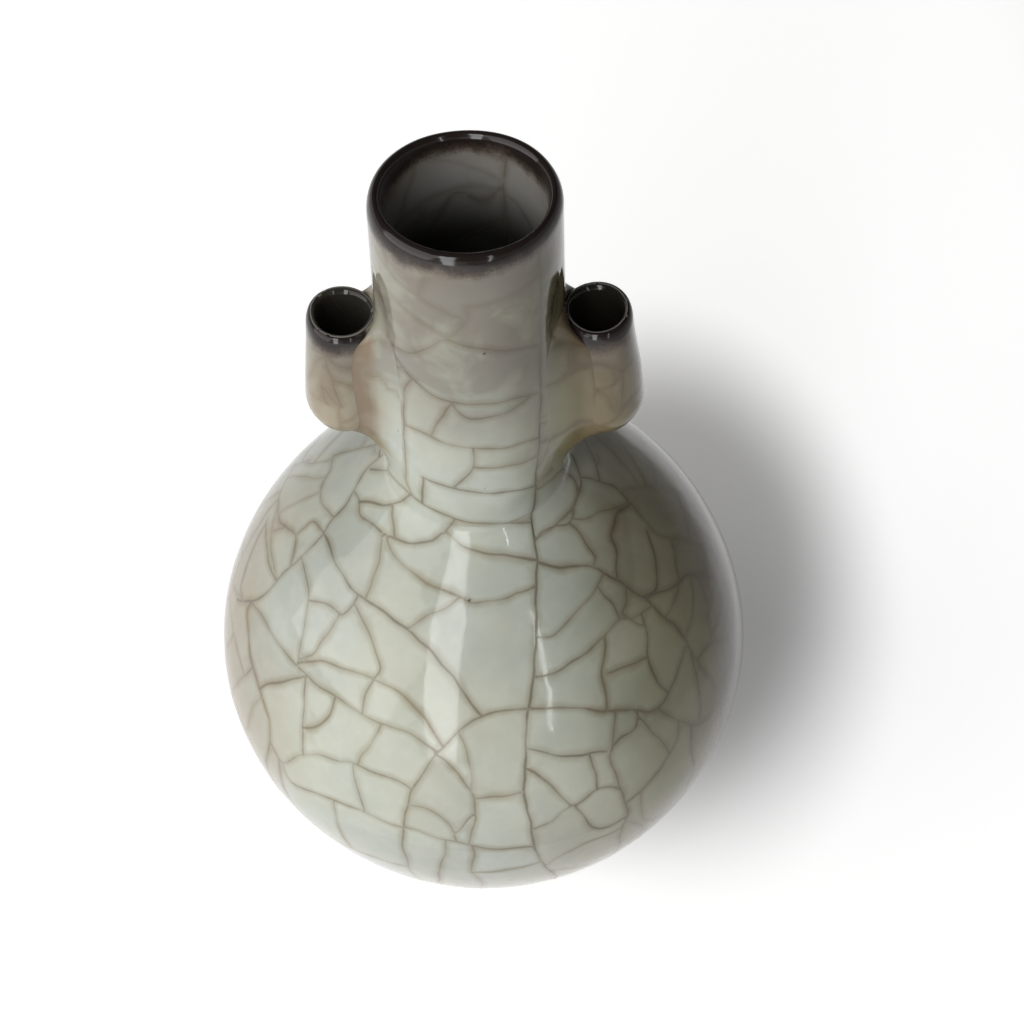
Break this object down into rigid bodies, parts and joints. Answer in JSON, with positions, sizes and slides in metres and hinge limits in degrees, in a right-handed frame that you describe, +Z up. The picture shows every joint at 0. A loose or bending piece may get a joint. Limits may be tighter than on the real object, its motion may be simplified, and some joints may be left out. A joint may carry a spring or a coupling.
{
  "type": "bottle vase",
  "caption": "Globular bottle vase with a straight neck, a tubular lug on each side of the neck and a low foot ring, in crackled grey-green glaze.",
  "frame": {"origin": "on the table under the middle of the foot", "axes": "+Z up along the neck, +X towards the right lug, -Y towards the front"},
  "size_m": [0.105, 0.105, 0.17],
  "materials": {
    "crackle_glaze": "glossy grey-green celadon with dark and brown crackle lines, thin and dark over the lips",
    "iron_foot_clay": "matte, unglazed iron-rich clay at the resting edge",
    "joining_slip": "matte fired slip inside the joints"
  },
  "bodies": {
    "root": {"foot_ring": "iron_foot_clay", "foot_slip_joint": "joining_slip", "lower_body": "crackle_glaze", "waist_slip_joint": "joining_slip", "upper_body": "crackle_glaze", "neck_slip_joint": "joining_slip", "neck": "crackle_glaze", "left_lug_tube": "crackle_glaze", "left_lug_front_luting_coil": "crackle_glaze", "left_lug_rear_luting_coil": "crackle_glaze", "right_lug_tube": "crackle_glaze", "right_lug_front_luting_coil": "crackle_glaze", "right_lug_rear_luting_coil": "crackle_glaze"}
  },
  "joints": []
}
